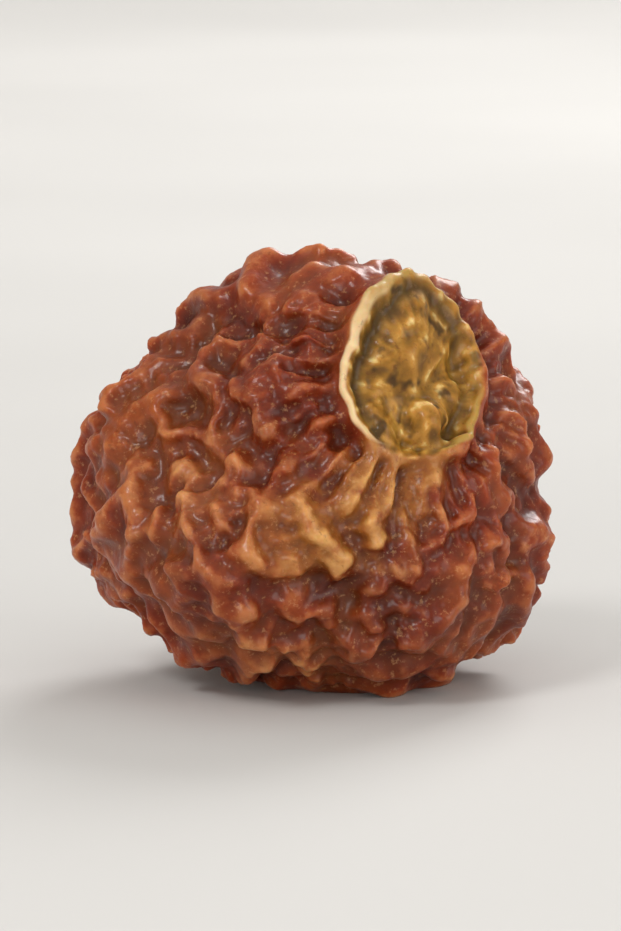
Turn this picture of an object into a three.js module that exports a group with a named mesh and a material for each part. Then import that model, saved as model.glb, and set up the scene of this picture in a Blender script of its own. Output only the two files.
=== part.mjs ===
// One dried physalis berry (Physalis peruviana), in millimetres, +Z up, resting on its flat spot.
//
// A fresh physalis is a smooth round berry. As it dries, the flesh shrinks and the skin doesn't: the
// body sinks into broad hollows, the skin buckles into folds with narrow ridges over them, and the
// round scar where the husk was attached stays stiff, so the skin gathers round it in pleats. The
// berry is one piece, so it is one closed mesh: a ball of directions whose every point gets a
// distance from the middle, and the heights of the scar, the folds and the ridges on top of that.

import * as THREE from 'three';
import { mergeVertices } from 'three/addons/utils/BufferGeometryUtils.js';

// Size of the body before the ridges, and how finely it is divided
const WIDTH = 13.9; // along X
const DEPTH = 12.8; // along Y
const HEIGHT = 12.6; // along Z, before the flat spot
const DIVISIONS = 24; // parts that each edge of the icosahedron is cut into

// Broad form of the shrunken body
const SWELL = { height: 0.25, pitch: 8.5, waves: 9 };
const LUMPS = { height: 0.2, pitch: 4.2, waves: 16 };
const HOLLOWS = [
  // which way each hollow faces, its reach in radians and its depth
  { facing: [-0.72, -0.62, 0.3], reach: 0.42, depth: 0.4 },
  { facing: [0.2, -0.6, -0.78], reach: 0.34, depth: 0.3 },
  { facing: [-0.25, 0.35, 0.9], reach: 0.5, depth: 0.45 },
  { facing: [0.85, 0.5, -0.1], reach: 0.45, depth: 0.5 },
  { facing: [-0.6, 0.75, -0.2], reach: 0.38, depth: 0.45 },
];
const STYLE_DIMPLE = { reach: 0.3, depth: 0.5 }; // opposite the stem, where the flower's style was

// The stem scar: which way it faces, its rim, its floor, and the groove and pleats round it
const STEM = new THREE.Vector3(0.46, -0.61, 0.645).normalize();
const SCAR_RADIUS = 2.5; // middle of the raised rim
const SCAR_SINK = { depth: 0.3, reach: 4 }; // the whole scar is drawn in
const SCAR_TILT = { slope: 0.4, reach: 4.2 }; // and leans down, so its upper side stands out
const RIM = { height: 0.32, width: 0.26, unevenness: 0.2 };
const RIM_OVAL = { angle: 0.8, distance: 0.2 }; // which way the rim is long, and by how much
const RIM_WAVER = { distance: 0.07, pitch: 2.6, waves: 8 }; // how the rim strays from a circle
const RIM_GAP = { angle: -1.95, width: 0.7, worn: 0.95 }; // where the rim is worn away
const FLOOR = { depth: 0.02, margin: 0.7 };
const FLOOR_LUMPS = { height: 0.17, pitch: 1.5, waves: 12 };
const GROOVE = { depth: 0.26, width: 0.4, beyondRim: 0.75 };
const PLEATS_END = { from: 0.3, to: 1.6 }; // how far past the rim they break up
const RIDGES_START = { from: 0.1, to: 0.9 }; // how far past the rim the ridges reach their height
const GATHER = { share: 0.2, width: 0.3, middle: 0.15 }; // mesh points are drawn to the rim

// The buckled skin: broad folds, and narrow ridges over them
const FOLDS = {
  height: 0.28, // valley to crest, before the pattern is averaged
  nearPasses: 8, // each round keeps what is wider than this many averagings
  widePasses: 26, // and narrower than this many more
  pleats: 8, // folds that run out from the scar's rim
  crestPower: 1, // above 1 makes crests narrower than valleys
};
const RIDGES = { height: 0.32, nearPasses: 4, widePasses: 12, pleats: 15, crestPower: 1.6 };
const RIDGE_DRIFT = { share: 0.35, pitch: 3.2, waves: 14 }; // ridges are higher in some places
const PATTERN_DIVISIONS = 52; // the ridges are laid out on a ball this finely divided
const ROUNDS = 6; // rounds of buckling
const GAIN = 4.5; // how hard each round drives the skin to a crest or a valley
const START_UNEVENNESS = 2;
const ROUNDING_PASSES = 2; // averagings that round off the crests at the end
const SAMPLE_REACH = 0.03; // radians over which the pattern is averaged for one mesh point

// The flat spot that the berry rests on
const REST_DEPTH = 0.75; // how much of the bottom it takes away
const REST_CALM = { from: 0.25, to: 0.5, ridges: 0.25 }; // ridges pressed down near it, in radians

// The same random numbers at every run
function randomNumbers(seed) {
  let state = seed;
  return () => {
    state = (state + 0x6d2b79f5) | 0;
    let t = Math.imul(state ^ (state >>> 15), 1 | state);
    t = (t + Math.imul(t ^ (t >>> 7), 61 | t)) ^ t;
    return ((t ^ (t >>> 14)) >>> 0) / 4294967296;
  };
}
const random = randomNumbers(1291);

function randomDirection() {
  const z = 2 * random() - 1;
  const turn = 2 * Math.PI * random();
  const flat = Math.sqrt(1 - z * z);
  return new THREE.Vector3(flat * Math.cos(turn), flat * Math.sin(turn), z);
}

// Soft unevenness of one pitch: a sum of plane waves that run in random directions
function unevenness({ waves, pitch }) {
  const list = Array.from({ length: waves }, () => ({
    along: randomDirection().multiplyScalar((2 * Math.PI) / pitch),
    phase: 2 * Math.PI * random(),
  }));
  const level = Math.sqrt(2 / waves);
  return (point) => level * list.reduce((sum, w) => sum + Math.cos(w.along.dot(point) + w.phase), 0);
}

const DOWN = new THREE.Vector3(0, 0, -1);
const bump = (distance, width) => Math.exp(-((distance / width) ** 2));
const rise = (x, { from, to }) => THREE.MathUtils.smoothstep(x, from, to);

// A ball of directions, and which of them lie next to each other
function makeBall(divisions) {
  const ball = new THREE.IcosahedronGeometry(1, divisions - 1);
  ball.deleteAttribute('normal');
  ball.deleteAttribute('uv');
  const merged = mergeVertices(ball, 1e-4);
  const { position } = merged.attributes;
  const directions = [];
  for (let i = 0; i < position.count; i++) {
    directions.push(new THREE.Vector3().fromBufferAttribute(position, i).normalize());
  }
  // all triangles run the same way round, so this lists every neighbour of a point once
  const index = Array.from(merged.index.array);
  const neighbours = directions.map(() => []);
  for (let i = 0; i < index.length; i += 3) {
    neighbours[index[i]].push(index[i + 1]);
    neighbours[index[i + 1]].push(index[i + 2]);
    neighbours[index[i + 2]].push(index[i]);
  }
  return { directions, index, neighbours };
}

// Position round the stem: distance over the skin from the scar's middle, and the angle round it
const across = new THREE.Vector3(0, 0, 1).cross(STEM).normalize();
const upward = new THREE.Vector3().crossVectors(STEM, across);
const MEAN_RADIUS = (WIDTH + DEPTH + HEIGHT) / 6;
function roundStem(d) {
  return {
    distance: MEAN_RADIUS * d.angleTo(STEM),
    turn: Math.atan2(d.dot(upward), d.dot(across)),
  };
}

// Points near the scar's rim slide towards it, so that the mesh is finest there
function gather(d) {
  const angle = d.angleTo(STEM);
  const fromRim = angle - SCAR_RADIUS / MEAN_RADIUS;
  const share = GATHER.share * rise(angle, { from: 0, to: GATHER.middle });
  const slide = share * fromRim * bump(fromRim, GATHER.width);
  const axis = new THREE.Vector3().crossVectors(d, STEM).normalize();
  return d.clone().applyAxisAngle(axis, slide);
}

// The body: an ellipsoid with broad swells, smaller lumps and hollows
const swell = unevenness(SWELL);
const lumps = unevenness(LUMPS);
function bodyRadius(d) {
  const ellipsoid = 1 / Math.hypot(d.x / (WIDTH / 2), d.y / (DEPTH / 2), d.z / (HEIGHT / 2));
  const point = d.clone().multiplyScalar(ellipsoid);
  let radius = ellipsoid + SWELL.height * swell(point) + LUMPS.height * lumps(point);
  for (const { facing, reach, depth } of HOLLOWS) {
    radius -= depth * bump(d.angleTo(new THREE.Vector3(...facing)), reach);
  }
  return radius - STYLE_DIMPLE.depth * bump(Math.PI - d.angleTo(STEM), STYLE_DIMPLE.reach);
}

// The scar: a raised rim, worn away on one side, round a lumpy floor, with a groove outside it
const floorLumps = unevenness(FLOOR_LUMPS);
const rimWaver = unevenness(RIM_WAVER);
function scarHeight(d, point) {
  const { distance, turn } = roundStem(d);
  const waver = rimWaver(point);
  const oval = RIM_OVAL.distance * Math.cos(2 * (turn - RIM_OVAL.angle));
  const rimAt = SCAR_RADIUS + oval + RIM_WAVER.distance * waver;
  const fromGap = Math.atan2(Math.sin(turn - RIM_GAP.angle), Math.cos(turn - RIM_GAP.angle));
  const whole = 1 - RIM_GAP.worn * bump(fromGap, RIM_GAP.width);
  const rim = RIM.height * whole * (1 + RIM.unevenness * waver) * bump(distance - rimAt, RIM.width);
  const inside = 1 - rise(distance - oval, { from: SCAR_RADIUS - FLOOR.margin, to: SCAR_RADIUS });
  const floor = inside * (FLOOR_LUMPS.height * floorLumps(point) - FLOOR.depth);
  const groove = GROOVE.depth * whole * bump(distance - rimAt - GROOVE.beyondRim, GROOVE.width);
  const sink = SCAR_SINK.depth * bump(distance, SCAR_SINK.reach);
  const lean = SCAR_TILT.slope * distance * Math.sin(turn) * bump(distance, SCAR_TILT.reach);
  return rim + floor + lean - groove - sink;
}

// The buckled skin. Random unevenness is evened out at every size but one and driven to a crest or
// a valley, round after round, until the whole skin is ridges of about that size. It is laid out on
// a finer ball than the berry's own mesh, so that the ridges can run in any direction.
function buckle({ nearPasses, widePasses, pleats, crestPower }) {
  const { directions, neighbours } = makeBall(PATTERN_DIVISIONS);
  const averaged = (values, passes) => {
    let now = values;
    for (let pass = 0; pass < passes; pass++) {
      now = neighbours.map((list) => list.reduce((sum, j) => sum + now[j], 0) / list.length);
    }
    return now;
  };
  let heights = directions.map((d) => {
    const { distance, turn } = roundStem(d);
    const pleated = 1 - rise(distance - SCAR_RADIUS, PLEATS_END);
    const noise = START_UNEVENNESS * (2 * random() - 1);
    return (1 - pleated) * noise + pleated * Math.cos(pleats * turn);
  });
  for (let round = 0; round < ROUNDS; round++) {
    const near = averaged(heights, nearPasses);
    const wide = averaged(near, widePasses);
    heights = near.map((v, i) => Math.tanh(GAIN * (v - wide[i])));
  }
  const rounded = averaged(heights, ROUNDING_PASSES);
  return { directions, heights: rounded.map((v) => 2 * (0.5 + 0.5 * v) ** crestPower - 1) };
}

// The pattern's height in one direction, averaged over the pattern points close to it
function patternAt(d, pattern) {
  const edge = Math.cos(2 * SAMPLE_REACH);
  let sum = 0;
  let weight = 0;
  pattern.directions.forEach((other, i) => {
    const closeness = d.dot(other);
    if (closeness < edge) return;
    const share = bump(Math.acos(Math.min(1, closeness)), SAMPLE_REACH);
    sum += share * pattern.heights[i];
    weight += share;
  });
  return sum / weight;
}

// Body, ridges and scar together, before the flat spot
const ridgeDrift = unevenness(RIDGE_DRIFT);
function makeSkin(directions, index) {
  const folds = buckle(FOLDS);
  const ridges = buckle(RIDGES);
  const body = directions.map((d) => d.clone().multiplyScalar(bodyRadius(d)));
  const shape = new THREE.BufferGeometry().setFromPoints(body).setIndex(index);
  shape.computeVertexNormals();
  return body.map((p, i) => {
    const d = directions[i];
    const started = rise(roundStem(d).distance - SCAR_RADIUS, RIDGES_START);
    const pressed = 1 - (1 - REST_CALM.ridges) * (1 - rise(d.angleTo(DOWN), REST_CALM));
    const drift = 1 + RIDGE_DRIFT.share * ridgeDrift(p);
    const fold = 0.5 * FOLDS.height * patternAt(d, folds);
    const ridge = 0.5 * RIDGES.height * drift * patternAt(d, ridges);
    const normal = new THREE.Vector3().fromBufferAttribute(shape.attributes.normal, i);
    const buckled = started * pressed * (fold + ridge);
    return p.clone().addScaledVector(normal, buckled + scarHeight(d, p));
  });
}

// What would reach below the flat spot is drawn up to it, towards the middle of the berry, and the
// berry is then moved so that its origin is under its middle, on the surface it rests on
function restOnFlat(points) {
  const floor = Math.min(...points.map((p) => p.z)) + REST_DEPTH;
  for (const p of points) {
    if (p.z < floor) p.multiplyScalar(floor / p.z).setZ(floor);
  }
  const middle = new THREE.Box3().setFromPoints(points).getCenter(new THREE.Vector3());
  const foot = middle.setZ(floor);
  points.forEach((p) => p.sub(foot));
}

function makeBerry() {
  const ball = makeBall(DIVISIONS);
  const skin = makeSkin(ball.directions.map(gather), ball.index);
  restOnFlat(skin);
  const geometry = new THREE.BufferGeometry().setFromPoints(skin).setIndex(ball.index);
  geometry.computeVertexNormals();
  const flesh = new THREE.MeshStandardMaterial({ color: 0x8a4420, roughness: 0.38, metalness: 0 });
  const mesh = new THREE.Mesh(geometry, flesh);
  mesh.name = 'berry';
  return mesh;
}

const berry = new THREE.Group();
berry.add(makeBerry());

export default berry;
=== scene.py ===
# %% [markdown]
# # A dried physalis berry
#
# A fresh physalis is a smooth orange berry. Dried, it is a small wrinkled fruit, 14 mm wide: the
# skin has buckled into narrow orange ridges with dark red valleys between them, and the round scar
# where the husk was attached stays as a golden disc with a pale, papery rim. This lesson starts
# from the fruit's plain solid, makes its mesh fine enough for the small wrinkles, and then gives
# it a skin that is painted by its own relief. All lengths are in metres.

import math

import bmesh
import bpy
import numpy as np
from mathutils import Color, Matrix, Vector


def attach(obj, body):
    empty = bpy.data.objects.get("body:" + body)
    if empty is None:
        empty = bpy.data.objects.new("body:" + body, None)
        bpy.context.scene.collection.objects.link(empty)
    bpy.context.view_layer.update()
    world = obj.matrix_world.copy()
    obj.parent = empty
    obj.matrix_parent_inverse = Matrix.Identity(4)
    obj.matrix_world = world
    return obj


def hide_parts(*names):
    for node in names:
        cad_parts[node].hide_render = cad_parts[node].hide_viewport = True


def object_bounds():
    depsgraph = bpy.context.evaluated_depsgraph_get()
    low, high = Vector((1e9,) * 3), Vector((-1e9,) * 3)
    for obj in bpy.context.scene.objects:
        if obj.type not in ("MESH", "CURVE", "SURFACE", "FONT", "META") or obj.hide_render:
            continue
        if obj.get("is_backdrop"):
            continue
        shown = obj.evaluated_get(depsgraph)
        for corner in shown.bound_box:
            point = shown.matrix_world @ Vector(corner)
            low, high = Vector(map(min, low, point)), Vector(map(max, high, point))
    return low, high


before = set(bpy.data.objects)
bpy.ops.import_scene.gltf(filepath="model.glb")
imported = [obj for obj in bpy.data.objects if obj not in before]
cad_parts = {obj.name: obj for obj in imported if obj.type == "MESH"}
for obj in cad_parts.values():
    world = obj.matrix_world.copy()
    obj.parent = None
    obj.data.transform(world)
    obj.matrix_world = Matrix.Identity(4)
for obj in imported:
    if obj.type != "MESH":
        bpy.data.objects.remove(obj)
solid_low, solid_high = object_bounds()
MM = 0.001
solid_size = [round((high - low) / MM, 2) for low, high in zip(solid_low, solid_high)]
print("solid, in mm:", solid_size)

# %% [markdown]
# ## The skin's mesh
#
# The solid has the fruit's form and its main ridges, but only some 11,500 triangles, 0.3 mm across,
# so its ridges are faceted. A Subdivision Surface modifier would round them, but it also turns each
# triangle into three quads, and flattens crests as narrow as these. Bmesh's own subdivide operator
# cuts every edge in two and bends the new points out along the surface, so the crests keep their
# height. The solid's triangles are loose, so the copy is merged first.

# %% A finer copy of the solid
DOUBLES_WITHIN = 0.001 * MM
DIVIDINGS = 2
BEND = 0.75  # how far new points follow the curve of the surface
EASING = 0.35  # share of the way that each point moves to the middle of its neighbours


def finer_copy(node):
    shape = bmesh.new()
    shape.from_mesh(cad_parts[node].data)
    bmesh.ops.remove_doubles(shape, verts=shape.verts, dist=DOUBLES_WITHIN)
    for _ in range(DIVIDINGS):
        bmesh.ops.subdivide_edges(shape, edges=shape.edges, cuts=1, smooth=BEND, use_grid_fill=True)
        bmesh.ops.smooth_vert(shape, verts=shape.verts, factor=EASING, use_axis_x=True, use_axis_y=True,
                              use_axis_z=True)
    for face in shape.faces:
        face.smooth = True
    shape.verts.index_update()
    return shape


shape = finer_copy("berry")
print("finer copy:", len(shape.verts), "points,", len(shape.faces), "faces")

# %% [markdown]
# ## Working on the skin with numbers
#
# The wrinkles are made by moving points in and out. Every step below needs the same three things:
# where the points are, which way the surface faces at each, and the average over each point's
# neighbours. All points of this mesh have five or six neighbours, so a table of six columns holds
# them, the first one twice where there are five, and one numpy line averages any quantity over the
# whole skin. Averaging again and again is a blur whose reach grows with the number of passes.

# %% Points, normals and averages
MOST_NEIGHBOURS = 6


def neighbours_of(shape):
    rows = []
    for point in shape.verts:
        row = [edge.other_vert(point).index for edge in point.link_edges]
        rows.append((row + row[:1])[:MOST_NEIGHBOURS])
    return np.array(rows)


neighbours = neighbours_of(shape)
skin = bpy.data.meshes.new("berry_skin")
shape.to_mesh(skin)
shape.free()


def averaged(values, passes):
    for _ in range(passes):
        values = values[neighbours].mean(axis=1)
    return values


def points_of(mesh):
    flat = np.zeros(3 * len(mesh.vertices))
    mesh.vertices.foreach_get("co", flat)
    return flat.reshape(-1, 3)


def normals_of(mesh):
    flat = np.zeros(3 * len(mesh.vertices))
    mesh.vertex_normals.foreach_get("vector", flat)
    return flat.reshape(-1, 3)


def raise_by(mesh, heights):
    moved = points_of(mesh) + normals_of(mesh) * heights[:, None]
    mesh.vertices.foreach_set("co", moved.ravel())
    mesh.update()


def relief_of(mesh, passes):
    """How far each point stands above the blurred surface round it."""
    points = points_of(mesh)
    return ((points - averaged(points, passes)) * normals_of(mesh)).sum(axis=1)


def rise(x, start, end):
    share = np.clip((x - start) / (end - start), 0, 1)
    return share * share * (3 - 2 * share)


def bump(distance, width):
    return np.exp(-((distance / width) ** 2))


print("neighbours:", neighbours.shape)

# %% [markdown]
# ## Where the scar is
#
# The scar is nearly round, so it is easiest to shape and paint with two measures for each point: how
# far it lies from the scar's middle, over the skin, and its angle round the scar. Both come from the
# point's direction, seen from the middle of the fruit. A third, how far it lies outside the rim,
# follows from them.

# %% Distance from the scar's middle, and angle round it
MIDDLE = np.array([0.27, 0.5, 5.54]) * MM  # where the fruit's directions start
MEAN_RADIUS = 6.55 * MM
STEM = np.array([0.46, -0.61, 0.645])  # which way the scar faces
SCAR_RADIUS = 2.5 * MM  # to the crest of its rim
SCAR_OVAL = 0.2 * MM  # how much longer it is, and less across
LONG_WAY = 0.8  # the angle at which it is long
RIM_GAP = -1.95  # the angle at which the rim is worn away
SCAR_ENDS = (-0.1 * MM, 0.15 * MM)  # from and to how far past the rim the scar's tissue ends
SKIN_STARTS = (0.15 * MM, 0.7 * MM)  # and the wrinkles start
FLAT_ENDS = (0.02 * MM, 0.5 * MM)  # from and to what height the flat spot ends

stem = STEM / np.linalg.norm(STEM)
across = np.cross([0, 0, 1], stem)
across /= np.linalg.norm(across)
upward = np.cross(stem, across)

directions = points_of(skin) - MIDDLE
directions /= np.linalg.norm(directions, axis=1)[:, None]
from_scar = MEAN_RADIUS * np.arccos(np.clip(directions @ stem, -1, 1))
turn = np.arctan2(directions @ upward, directions @ across)
from_rim = from_scar - SCAR_RADIUS - SCAR_OVAL * np.cos(2 * (turn - LONG_WAY))
inside = 1 - rise(from_rim, *SCAR_ENDS)
outside = rise(from_rim, *SKIN_STARTS)
above_flat = rise(points_of(skin)[:, 2], *FLAT_ENDS)
print("points inside the scar's rim:", int((inside > 0.5).sum()))

# %% [markdown]
# ## Wrinkles
#
# Real ridges of dried skin are thin at the top, because the skin has folded on itself there, and
# finer wrinkles run between them. A noise texture makes round lumps, and dried skin has lines that
# run along, fork and end. They can be grown instead, as they grow on the fruit: take some
# unevenness, keep only the part of it that is about as wide as a wrinkle, drive every point towards
# a crest or a valley, and do the same again a few times. The first set starts from the solid's own
# ridges and some chance, so it thins their crests and adds more between them. The finer sets start
# from chance. The scar stays stiff while the skin shrinks, so near it the two larger sets start from
# pleats that run away from it.

# %% Growing wrinkles
GAIN = 4.5  # how hard each round drives the skin to a crest or a valley
ROUNDS = 5
UNEVENNESS = 2  # how far the chance at the start goes up and down
CUT_OFF = 2.2  # heights are cut off at this many times their spread
WRINKLES = [
    # height from valley to crest, passes near and wide, crest power, share of chance, and pleats
    (0.18 * MM, 6, 18, 1.7, 0.6, 21),
    (0.11 * MM, 3, 9, 1.9, 1, 40),
    (0.04 * MM, 1, 4, 1.5, 1, 0),
]
PLEATS_END = 3.2 * MM  # how far past the rim the pleats reach
PLEAT_START = 2.5  # how much they count at the start
PLEAT_CROWDS = 3  # places round the scar where they stand closer
DRIFT = 0.3  # wrinkles are higher in some places than in others
DRIFT_PASSES = 80
DRIFT_RANGE = (0.2, 1.8)
RELIEF_PASSES = 40
SEED = 1291

dice = np.random.default_rng(SEED)
main_relief = relief_of(skin, RELIEF_PASSES)


def wrinkles(near_passes, wide_passes, crest_power, chance=1, pleats=0):
    """Heights from -1 to 1. A crest power above 1 makes crests narrower than valleys."""
    heights = (1 - chance) * main_relief / main_relief.std()
    heights += chance * dice.uniform(-UNEVENNESS, UNEVENNESS, len(main_relief))
    if pleats:
        near_scar = 1 - rise(from_rim, 0, PLEATS_END)
        heights += near_scar * PLEAT_START * np.cos(pleats * turn + np.sin(PLEAT_CROWDS * turn))
    for _ in range(ROUNDS):
        near = averaged(np.tanh(GAIN * heights), near_passes)
        heights = near - averaged(near, wide_passes)
    heights = np.clip(heights / (CUT_OFF * heights.std()), -1, 1)
    return 2 * (0.5 + 0.5 * heights) ** crest_power - 1


folded = sum(0.5 * height * wrinkles(*rest) for height, *rest in WRINKLES)
drift = averaged(dice.uniform(-1, 1, len(main_relief)), DRIFT_PASSES)
strength = np.clip(1 + DRIFT * drift / drift.std(), *DRIFT_RANGE)
raise_by(skin, outside * above_flat * strength * folded)
print("wrinkles, valley to crest, in mm:", round(float(folded.max() - folded.min()) / MM, 2))

# %% [markdown]
# ## The scar
#
# The husk's attachment leaves a thin, ragged ring of papery tissue. Inside it runs a narrow dark
# moat, and in the middle stands a low golden cushion of small lumps, with fibres that run outwards.
# All of it can be shaped by the measures above: ring and moat by the distance, the fibres by the
# angle, and the lumps by the same growing of unevenness.

# %% Ring, moat and cushion
RING_HEIGHT = 0.15 * MM
RING_WIDTH = 0.1 * MM
RING_SWAYS = [(3, 0.07 * MM), (8, 0.04 * MM), (17, 0.025 * MM)]  # times round the ring, distance
RING_FRAYED = (0.45, 0.35)  # how much the lumps and the specks change its height
# places on the ring: the angle, the share that is gone or added there, and the width in radians
RING_GONE = (RIM_GAP, 0.97, 0.65)
RING_WORN = (0.1, 0.6, 0.7)
RING_THICK = (1.7, 0.8, 0.8)
MOAT_DEPTH = 0.12 * MM
MOAT_WIDTH = 0.22 * MM
MOAT_AT = 0.45 * MM  # how far inside the ring
CUSHION_RISE = 0.3 * MM
CUSHION_WIDTH = 1.5 * MM
LUMP_HEIGHT = 0.075 * MM
LUMP_SHARES = (0.5, 0.25)  # of the lumps and of the specks in it
FIBRES = [19, 31, 47]  # times round the scar
FIBRE_HEIGHT = 0.03 * MM
FIBRE_BEND = 2  # radians
FIBRES_START = (0.4 * MM, 1.2 * MM)  # from and to how far off the scar's middle


def away_from(angle):
    return np.arctan2(np.sin(turn - angle), np.cos(turn - angle))


def at_place(angle, share, width):
    return share * bump(away_from(angle), width)


lumps = wrinkles(near_passes=3, wide_passes=10, crest_power=1)
specks = wrinkles(near_passes=2, wide_passes=6, crest_power=2)
from_ring = from_rim - sum(sway * np.cos(times * turn + times) for times, sway in RING_SWAYS)
whole = (1 - at_place(*RING_GONE)) * (1 - at_place(*RING_WORN))
ragged = np.clip(1 + RING_FRAYED[0] * lumps + RING_FRAYED[1] * specks, 0, 2)
ring = whole * bump(from_ring, RING_WIDTH * (1 + at_place(*RING_THICK)))
moat = whole * bump(from_ring + MOAT_AT, MOAT_WIDTH)
cushion = inside * (1 - moat) * (1 - ring)
bends = [FIBRE_BEND * np.sin(from_scar / MM + times) for times in FIBRES]
fibres = sum(np.cos(times * turn + bend) for times, bend in zip(FIBRES, bends)) / len(FIBRES)
fibres *= rise(from_scar, *FIBRES_START)
dome = CUSHION_RISE * bump(from_scar, CUSHION_WIDTH)
dome += LUMP_HEIGHT * (LUMP_SHARES[0] * lumps + LUMP_SHARES[1] * specks)
raise_by(skin, RING_HEIGHT * ring * ragged - MOAT_DEPTH * moat
         + FIBRE_HEIGHT * fibres * inside + cushion * dome)
print("points on the ring:", int((ring > 0.5).sum()))

# %% [markdown]
# ## Back on the ground
#
# Subdividing and smoothing have pushed the edge of the flat spot a few hundredths of a millimetre
# through the ground. Whatever is below it is lifted back to it.

# %% Nothing below the ground
grounded = points_of(skin)
lowest = grounded[:, 2].min()
grounded[:, 2] = np.maximum(grounded[:, 2], 0)
skin.vertices.foreach_set("co", grounded.ravel())
skin.update()
print("lowest point was, in mm:", round(lowest / MM, 3))

# %% [markdown]
# ## Measures for the paint
#
# On the real fruit colour follows form: crests are dry, thin-skinned and orange, valleys hold the
# dark, sticky flesh. The paint adds painted shade in the valleys on top of that, and a painted
# highlight along sharp crests. So the paint needs to know how high each point stands. The relief is
# measured once more on the finished skin and kept with the mesh, as named attributes that the
# material reads.

# %% Attributes that the material reads
BROAD_PASSES = 50  # for the height of whole ridges
FINE_PASSES = 6  # for their crest lines alone
PERCENTILES = [2, 99]
RING_PALE = (3.0, 1, 1.1)  # a place on the ring, as above
LUMP_PAINT = (0.25, 0.25, 0.2)  # shares of lumps, specks and fibres in the cushion's colour
# golden tissue runs out of the scar through the gap in its rim
FLOW_BEND = 0.11 / MM  # how it turns to the side on its way
FLOW_LENGTH = 6.8 * MM
FLOW_FADES = 0.3  # the share of its length after which it fades
FLOW_WIDTH = 1.3 * MM  # where it leaves the scar
FLOW_SPREAD = 0.42  # how fast it widens
FLOW_AT_GAP = 1.2  # how much more of it there is at the gap
FLOW_GAP_REACH = 1 * MM
# pale patches: partly tan skin and partly painted light
TAN_AND_LIT_SPOTS = [
    # which way each faces, seen from the fruit's middle, and its reach in radians
    ((-0.6, -0.77, 0.2), 0.3),
    ((-0.3, -0.76, -0.57), 0.2),
    ((-0.05, -0.7, -0.7), 0.16),
]
# dark patches: partly crimson skin and partly painted shade in hollows
CRIMSON_AND_SHADED_SPOTS = [
    ((-0.55, -0.8, -0.25), 0.26),
    ((-0.15, -0.75, 0.65), 0.3),
    ((0.3, -0.8, -0.5), 0.25),
]


def keep(name, values):
    attribute = skin.attributes.new(name, "FLOAT", "POINT")
    attribute.data.foreach_set("value", values.astype(np.float32))


def spread(values):
    """Values drawn out to reach from 0 to 1, apart from the few lowest and highest."""
    low, high = np.percentile(values, PERCENTILES)
    return np.clip((values - low) / (high - low), 0, 1)


def spots(places):
    total = np.zeros(len(turn))
    for facing, reach in places:
        towards = np.array(facing) / np.linalg.norm(facing)
        total += bump(np.arccos(np.clip(directions @ towards, -1, 1)), reach)
    return np.clip(total, 0, 1)


beyond = np.clip(from_rim, 0, None)
from_flow = away_from(RIM_GAP - FLOW_BEND * beyond) * from_scar
flow = bump(from_flow, FLOW_WIDTH + FLOW_SPREAD * beyond)
flow *= 1 - rise(beyond, FLOW_FADES * FLOW_LENGTH, FLOW_LENGTH)
flow *= 1 + FLOW_AT_GAP * bump(beyond, FLOW_GAP_REACH)
lump = sum(share * values for share, values in zip(LUMP_PAINT, (lumps, specks, fibres)))
keep("crest", spread(relief_of(skin, BROAD_PASSES)))
keep("edge", spread(relief_of(skin, FINE_PASSES)))
keep("scar", inside)
keep("ring", ring)
keep("cream", at_place(*RING_PALE))
keep("moat", moat * inside)
keep("lump", np.clip(0.5 + lump, 0, 1))
keep("flow", flow * (1 - inside))
keep("tan_and_lit", spots(TAN_AND_LIT_SPOTS))
keep("crimson_and_shade", spots(CRIMSON_AND_SHADED_SPOTS))
print("attributes:", [a.name for a in skin.attributes if a.data_type == "FLOAT"])

# %% [markdown]
# ## Paint and nodes
#
# A procedural material is a chain of nodes. These helpers add one node each and join it up, so that
# the recipes below read like recipes. Colours are written as a painter would pick them on screen,
# and turned into Blender's linear light here.

# %% Helpers for materials
COLOUR_A, COLOUR_B, COLOUR_OUT = 6, 7, 2  # the Mix node's sockets for colours
MOST_NOISE = (0.3, 0.7)  # where most values of a noise lie


def paint(hexadecimal):
    shares = [int(hexadecimal[i:i + 2], 16) / 255 for i in (1, 3, 5)]
    return (*Color(shares).from_srgb_to_scene_linear(), 1)


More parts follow.
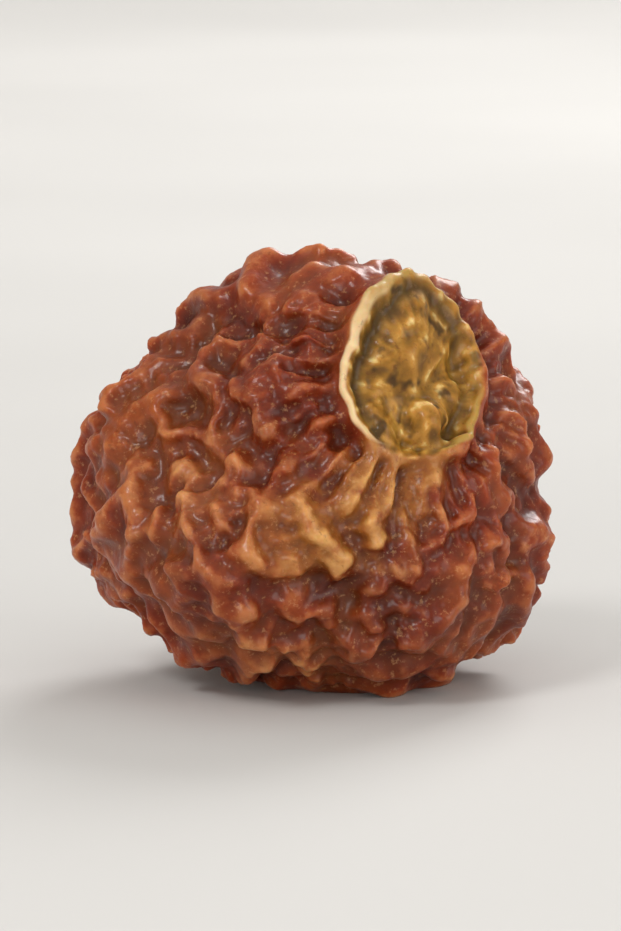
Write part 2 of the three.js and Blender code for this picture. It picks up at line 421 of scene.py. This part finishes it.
class Recipe:
    """A material and short ways to add nodes to it."""

    def __init__(self, name):
        self.material = bpy.data.materials.new(name)
        self.material.use_nodes = True
        self.tree = self.material.node_tree
        self.shader = self.tree.nodes["Principled BSDF"]
        self.place = self.tree.nodes.new("ShaderNodeTexCoord").outputs["Object"]

    def put(self, value, socket):
        if isinstance(value, bpy.types.NodeSocket):
            self.tree.links.new(value, socket)
        else:
            socket.default_value = value

    def measure(self, name):
        node = self.tree.nodes.new("ShaderNodeAttribute")
        node.attribute_name = name
        return node.outputs["Fac"]

    def noise(self, size, detail=3, roughness=0.5, distortion=0, kind="FBM"):
        node = self.tree.nodes.new("ShaderNodeTexNoise")
        node.noise_type = kind
        self.put(self.place, node.inputs["Vector"])
        self.put(1 / size, node.inputs["Scale"])
        self.put(detail, node.inputs["Detail"])
        self.put(roughness, node.inputs["Roughness"])
        self.put(distortion, node.inputs["Distortion"])
        return node.outputs["Fac"]

    def maths(self, operation, a, b):
        node = self.tree.nodes.new("ShaderNodeMath")
        node.operation = operation
        self.put(a, node.inputs[0])
        self.put(b, node.inputs[1])
        return node.outputs[0]

    def plus(self, a, b):
        return self.maths("ADD", a, b)

    def times(self, a, b):
        return self.maths("MULTIPLY", a, b)

    def between(self, value, low, high, new_low=0, new_high=1):
        node = self.tree.nodes.new("ShaderNodeMapRange")
        node.interpolation_type = "SMOOTHSTEP"
        for name, number in zip(("Value", "From Min", "From Max", "To Min", "To Max"),
                                (value, low, high, new_low, new_high)):
            self.put(number, node.inputs[name])
        return node.outputs["Result"]

    def ramp(self, value, stops):
        node = self.tree.nodes.new("ShaderNodeValToRGB")
        self.put(value, node.inputs["Fac"])
        marks = node.color_ramp.elements
        while len(marks) < len(stops):
            marks.new(0.5)
        for mark, (position, colour) in zip(marks, stops):
            mark.position = position
            mark.color = paint(colour)
        return node.outputs["Color"]

    def mix(self, share, a, b, blend="MIX"):
        node = self.tree.nodes.new("ShaderNodeMix")
        node.data_type = "RGBA"
        node.blend_type = blend
        self.put(share, node.inputs["Factor"])
        self.put(paint(a) if isinstance(a, str) else a, node.inputs[COLOUR_A])
        self.put(paint(b) if isinstance(b, str) else b, node.inputs[COLOUR_B])
        return node.outputs[COLOUR_OUT]

    def bump(self, height, depth, strength=1.0, below=None):
        node = self.tree.nodes.new("ShaderNodeBump")
        self.put(strength, node.inputs["Strength"])
        self.put(depth, node.inputs["Distance"])
        self.put(height, node.inputs["Height"])
        if below:
            self.put(below, node.inputs["Normal"])
        return node.outputs["Normal"]

    def set(self, **values):
        for name, value in values.items():
            self.put(value, self.shader.inputs[name.replace("_", " ")])


print("colours are linear:", [round(x, 3) for x in paint("#b06a3c")[:3]])

# %% [markdown]
# ## The skin's colours
#
# The colour runs from dark red-brown in the valleys to orange on the crests: partly the fruit's own
# colour, and partly painted shade in the valleys. A painted highlight draws a light line where a crest
# is sharp. Golden, bruised, pale and dark patches are laid over it, and last the golden tissue that
# runs out of the scar. The golden and bruised patches are tones of the skin; the pale ones are partly
# tan skin and partly painted light, and the dark ones partly crimson skin and partly painted shade.
# Each layer is a share, made of a measure or a noise, and a colour that it mixes in. The noise keeps
# all the edges uneven.

# %% Colours by relief, and patches
# from valley to crest: the flesh's own colour, with painted shade deepening the valleys
SKIN_AND_SHADE_RAMP = [(0.0, "#5a1c08"), (0.4, "#75270b"), (0.7, "#8b3611"), (1.0, "#a15121")]
TAN_AND_LIT_RAMP = [(0.0, "#86441e"), (0.5, "#a66132"), (1.0, "#cf985f")]
FLOW_RAMP = [(0.0, "#6c3410"), (0.45, "#9c5f26"), (1.0, "#d09f5c")]
# painted highlight along sharp crests
CREST_HIGHLIGHT = "#b8784a"
GOLDEN = "#ae6a2e"
BRUISE = "#94433a"
CRIMSON_AND_SHADE = "#a0524a"
# the most that each layer covers
GOLDEN_SHARE = 0.2
BRUISE_SHARE = 0.55
TAN_AND_LIT_SHARE = 0.7
CRIMSON_AND_SHADE_SHARE = 0.55
FLOW_SHARE = 0.92


def skin_colour(r, mottle):
    # painted shade: the lower a point stands, the darker its colour; this level also steers the ramps
    # below
    level = r.plus(r.measure("crest"), r.between(mottle, *MOST_NOISE, -0.16, 0.16))
    colour = r.ramp(level, SKIN_AND_SHADE_RAMP)
    # painted highlight: a light line along sharp crests, broken up by noise
    highlight_level = r.plus(r.measure("edge"), r.between(mottle, *MOST_NOISE, -0.25, 0.25))
    broken = r.between(r.noise(1.3 * MM, detail=2), 0.35, 0.65, 0.15, 0.65)
    colour = r.mix(r.times(r.between(highlight_level, 0.5, 1.1), broken), colour, CREST_HIGHLIGHT)

    golden = r.between(r.noise(3.2 * MM, detail=3, distortion=0.6), 0.46, 0.66)
    colour = r.mix(r.times(golden, GOLDEN_SHARE), colour, GOLDEN)
    bruised = r.between(r.noise(4.6 * MM, detail=4, distortion=0.4), 0.5, 0.7)
    colour = r.mix(r.times(bruised, BRUISE_SHARE), colour, BRUISE, "MULTIPLY")

    patchy = r.between(r.noise(0.9 * MM, detail=3, distortion=0.5), 0.35, 0.6, 0.3, 1)
    # pale patches, partly tan skin and partly painted light
    tan_and_lit = r.times(r.times(r.measure("tan_and_lit"), patchy), TAN_AND_LIT_SHARE)
    colour = r.mix(tan_and_lit, colour, r.ramp(level, TAN_AND_LIT_RAMP))
    # dark patches, partly crimson skin and partly painted shade
    crimson_and_shade = r.times(r.times(r.measure("crimson_and_shade"), patchy), CRIMSON_AND_SHADE_SHARE)
    colour = r.mix(crimson_and_shade, colour, CRIMSON_AND_SHADE, "MULTIPLY")

    flow_edge = r.between(r.noise(0.9 * MM, detail=3), 0.3, 0.58, 0.2, 1)
    flow = r.between(r.times(r.measure("flow"), flow_edge), 0.04, 0.75, 0, FLOW_SHARE)
    return r.mix(flow, colour, r.ramp(level, FLOW_RAMP))


print("skin, from valley to crest:", [colour for _, colour in SKIN_AND_SHADE_RAMP])

# %% [markdown]
# ## The scar's colours
#
# The cushion is golden, lighter on its lumps, with painted shade for small pits between them and
# painted shade in the moat round it. The papery ring is cream where it is thick and dry, and olive
# where it is thin. Then small flecks go over everything: light ones, partly where the skin has dried
# out and partly painted glints, and dark freckles.

# %% Colours of the scar, flecks and freckles
CUSHION_RAMP = [(0.0, "#6e4a16"), (0.35, "#96681f"), (0.65, "#b88638"), (0.9, "#e6ca84")]
PIT_SHADE = "#352208"
MOAT_SHADE = "#4c3410"
PAPER_THIN = "#a6863f"
PAPER_THICK = "#dfc396"
FLECK_AND_GLINT = "#d6a06c"
FRECKLE = "#54200f"
PIT_SHADE_SHARE = 0.85
MOAT_SHADE_SHARE = 0.95
FLECK_AND_GLINT_SHARE = 0.3
FRECKLE_SHARE = 0.35


def with_scar(r, colour, mottle):
    lump = r.plus(r.measure("lump"), r.between(mottle, *MOST_NOISE, -0.12, 0.12))
    cushion = r.ramp(lump, CUSHION_RAMP)
    # painted shade of small pits in the cushion
    pit_shade = r.between(r.noise(0.75 * MM, detail=2), 0.3, 0.42, 1, 0)
    cushion = r.mix(r.times(pit_shade, PIT_SHADE_SHARE), cushion, PIT_SHADE)
    # painted shade in the moat round the cushion
    cushion = r.mix(r.times(r.measure("moat"), MOAT_SHADE_SHARE), cushion, MOAT_SHADE)
    colour = r.mix(r.measure("scar"), colour, cushion)
    cream = r.between(r.plus(r.measure("cream"), r.noise(0.9 * MM, detail=3)), 0.55, 1.35)
    papery = r.mix(cream, PAPER_THIN, PAPER_THICK)
    return r.mix(r.between(r.measure("ring"), 0.2, 0.75), colour, papery)


def with_flecks(r, colour):
    # pale flecks: partly dried skin and partly painted glints
    fleck_and_glint = r.between(r.noise(0.2 * MM, detail=3, roughness=0.7), 0.56, 0.7, 0, FLECK_AND_GLINT_SHARE)
    fewer_on_scar = r.between(r.measure("scar"), 0, 1, 1, 0.3)
    colour = r.mix(r.times(fleck_and_glint, fewer_on_scar), colour, FLECK_AND_GLINT)
    freckles = r.noise(0.26 * MM, detail=3, roughness=0.7, distortion=0.3)
    return r.mix(r.between(freckles, 0.3, 0.42, FRECKLE_SHARE, 0), colour, FRECKLE)


print("cushion, from low to high:", [colour for _, colour in CUSHION_RAMP])

# %% [markdown]
# ## The skin's surface
#
# Three things make it look like dried fruit and not like clay. Light goes a little way into the
# flesh, so subsurface scattering is on, with red reaching furthest. The skin is slightly sticky, so
# it has a broad gloss with a thin brighter coat, and the scar is duller. And it has a grain too fine
# for the mesh, which a bump map gives.

# %% Skin material
CREPE_DEPTH = 0.022 * MM
GRAIN_DEPTH = 0.02 * MM
SCAR_DULLER = 0.2
LIGHT_REACH = (1.0, 0.32, 0.13)  # how far red, green and blue light goes, against the scale


def skin_finish():
    r = Recipe("dried_skin")
    mottle = r.noise(0.5 * MM, detail=4, roughness=0.6)
    colour = with_flecks(r, with_scar(r, skin_colour(r, mottle), mottle))
    crepe = r.noise(0.35 * MM, detail=4, roughness=0.6, distortion=0.5, kind="RIDGED_MULTIFRACTAL")
    grain = r.noise(0.1 * MM, detail=4, roughness=0.6)
    normal = r.bump(grain, GRAIN_DEPTH, strength=0.6, below=r.bump(crepe, CREPE_DEPTH))
    rough = r.between(r.noise(0.7 * MM, detail=4), *MOST_NOISE, 0.32, 0.52)
    rough = r.plus(rough, r.times(r.measure("scar"), SCAR_DULLER))
    r.set(Base_Color=colour, Roughness=rough, Normal=normal, IOR=1.4, Specular_IOR_Level=0.25,
          Subsurface_Weight=0.55, Subsurface_Radius=LIGHT_REACH, Subsurface_Scale=0.8 * MM,
          Coat_Weight=0.25, Coat_Roughness=0.15)
    return r.material


berry = bpy.data.objects.new("dried_berry", skin)
bpy.context.scene.collection.objects.link(berry)
skin.materials.append(skin_finish())
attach(berry, "root")
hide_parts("berry")
print("berry:", len(skin.polygons), "triangles")

# %% [markdown]
# ## Floor and backdrop
#
# A small thing is best seen on plain pale ground with no horizon behind it. One round dish does for
# both: a flat middle, and a wall that curves up all round, so that every side of the fruit can be
# looked at with the same plain ground behind. Its profile is a few points and a bevel, spun round.

# %% A round dish as floor and backdrop
DISH_RADIUS = 0.55
WALL_HEIGHT = 0.5
DISH_CURVE = 0.3
CURVE_SEGMENTS = 16
DISH_STEPS = 96
SEAM_WITHIN = 0.01 * MM
GROUND_TONES = ("#c8c6c3", "#ceccc9")


def make_dish():
    profile = bmesh.new()
    corners = [(0, 0, 0), (DISH_RADIUS, 0, 0), (DISH_RADIUS, 0, WALL_HEIGHT)]
    points = [profile.verts.new(corner) for corner in corners]
    for pair in zip(points, points[1:]):
        profile.edges.new(pair)
    bmesh.ops.bevel(profile, geom=[points[1]], offset=DISH_CURVE, offset_type="OFFSET",
                    affect="VERTICES", segments=CURVE_SEGMENTS, profile=0.5, material=-1)
    bmesh.ops.spin(profile, geom=profile.verts[:] + profile.edges[:], cent=(0, 0, 0), axis=(0, 0, 1),
                   angle=math.tau, steps=DISH_STEPS, use_merge=True)
    bmesh.ops.remove_doubles(profile, verts=profile.verts, dist=SEAM_WITHIN)
    bmesh.ops.recalc_face_normals(profile, faces=profile.faces)
    mesh = bpy.data.meshes.new("dish")
    for face in profile.faces:
        face.smooth = True
    profile.to_mesh(mesh)
    profile.free()
    return bpy.data.objects.new("dish", mesh)


def dish_finish():
    r = Recipe("pale_ground")
    tone = r.between(r.noise(60 * MM, detail=2), *MOST_NOISE)
    r.set(Base_Color=r.mix(tone, *GROUND_TONES), Roughness=0.9)
    return r.material


dish = make_dish()
bpy.context.scene.collection.objects.link(dish)
dish.data.materials.append(dish_finish())
dish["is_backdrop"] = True
print("dish:", len(dish.data.polygons), "faces")

# %% [markdown]
# ## Light
#
# Soft light keeps the wrinkles readable without hard black shadows. The key lamp stands high on the
# left, and is small enough to leave clear highlights on the sticky skin. Wider, weaker ones stand on
# the right and low in front, and one behind catches the rim of the fruit and shines into the thin
# crests. A pale world fills the rest. Lamps this close need very little power.

# %% Lamps and world
LAMPS = [
    # name, place, size and power
    ("key", (-0.16, -0.2, 0.26), 0.09, 0.4),
    ("fill", (0.24, -0.16, 0.1), 0.2, 0.3),
    ("low", (-0.08, -0.26, 0.03), 0.12, 0.24),
    ("behind", (0.1, 0.24, 0.2), 0.14, 0.6),
]
WORLD_COLOUR = "#f7f5f1"
WORLD_STRENGTH = 0.82


def make_lamp(name, place, size, power):
    light = bpy.data.lights.new(name, "AREA")
    light.size = size
    light.energy = power
    lamp = bpy.data.objects.new(name, light)
    lamp.location = place
    lamp.rotation_euler = (berry_middle - Vector(place)).to_track_quat("-Z", "Y").to_euler()
    bpy.context.scene.collection.objects.link(lamp)


berry_middle = (solid_low + solid_high) / 2
for lamp_values in LAMPS:
    make_lamp(*lamp_values)

world = bpy.data.worlds.new("studio")
world.use_nodes = True
background = world.node_tree.nodes["Background"]
background.inputs["Color"].default_value = paint(WORLD_COLOUR)
background.inputs["Strength"].default_value = WORLD_STRENGTH
bpy.context.scene.world = world
bpy.context.scene.view_settings.view_transform = "Standard"
print("lamps:", [values[0] for values in LAMPS])

# %% [markdown]
# ## Camera
#
# The fruit is seen from straight in front and a little above, from far enough off that it isn't
# swollen by perspective. The picture is taken to be 621 wide and 931 high, and Blender's sensor
# size is the long side's, so the lens follows from how tall a stretch the picture should show.

# %% Camera
PICTURE = (621, 931)
FRUIT_SHARE = 0.78  # of the picture's width
DISTANCE = 0.16
ELEVATION = math.radians(9)
SENSOR = 0.036
CLIP_START = 0.01

fruit_width = solid_high.x - solid_low.x
seen_height = fruit_width / FRUIT_SHARE * PICTURE[1] / PICTURE[0]
back = Vector((0, -math.cos(ELEVATION), math.sin(ELEVATION)))
lens = bpy.data.cameras.new("camera")
lens.lens = SENSOR * DISTANCE / seen_height / MM
lens.clip_start = CLIP_START
camera = bpy.data.objects.new("camera", lens)
camera.location = berry_middle + back * DISTANCE
camera.rotation_euler = (-back).to_track_quat("-Z", "Y").to_euler()
bpy.context.scene.collection.objects.link(camera)
bpy.context.scene.camera = camera
print("lens, in mm:", round(lens.lens, 1))

# %% Measure and finish
dressed_low, dressed_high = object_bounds()
grown = [round((b - a) / MM, 3) for a, b in zip((*solid_low, *solid_high), (*dressed_low, *dressed_high))]
print("dressed against solid, in mm:", grown)
